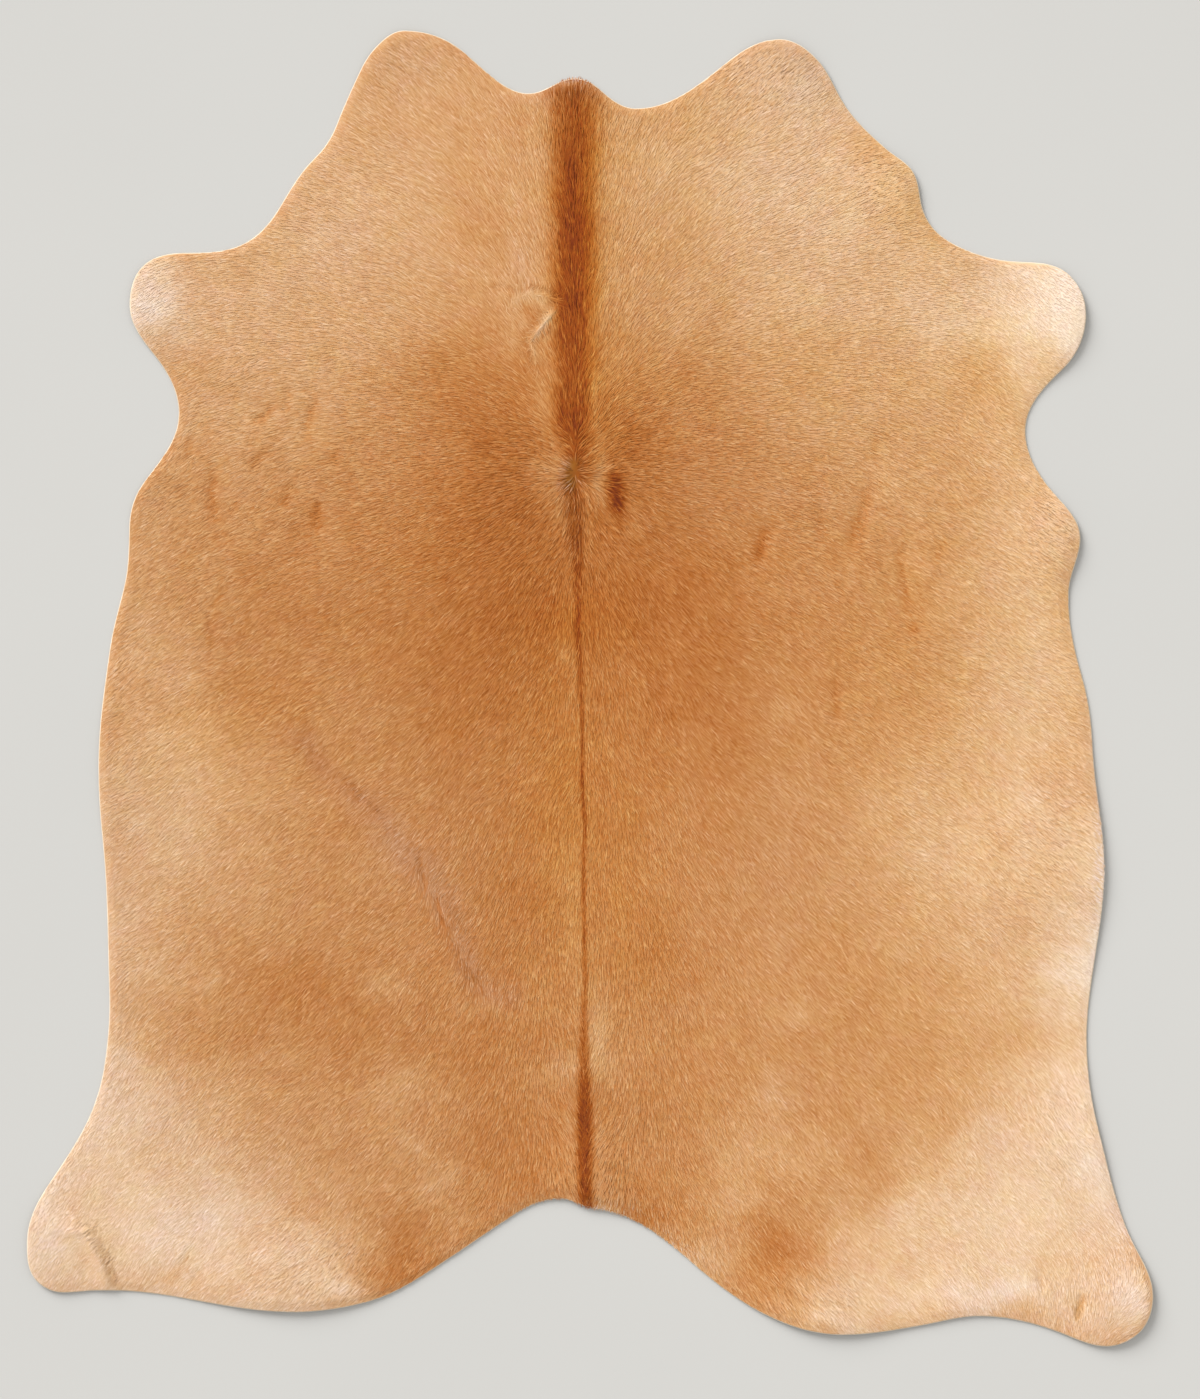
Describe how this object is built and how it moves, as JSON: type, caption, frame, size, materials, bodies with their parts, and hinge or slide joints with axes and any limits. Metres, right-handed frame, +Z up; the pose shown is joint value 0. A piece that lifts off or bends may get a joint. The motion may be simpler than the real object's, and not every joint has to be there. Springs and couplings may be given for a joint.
{
  "type": "hair-on cow hide rug",
  "caption": "Whole cow hide with its short tan coat, lying flat hair side up: neck, belly edges, shanks and rump in one knife-cut outline.",
  "frame": {"origin": "on the floor, under the middle of the hide's bounding box", "axes": "+Y along the spine from tail to neck, +X towards the hide's right edge seen from above with the neck up, +Z up out of the hair side"},
  "size_m": [1.8, 2.104, 0.0141],
  "materials": {
    "coat": "short smooth cow hair, tan to cream, with a russet stripe along the spine"
  },
  "bodies": {
    "root": {"hide": "coat"}
  },
  "joints": []
}
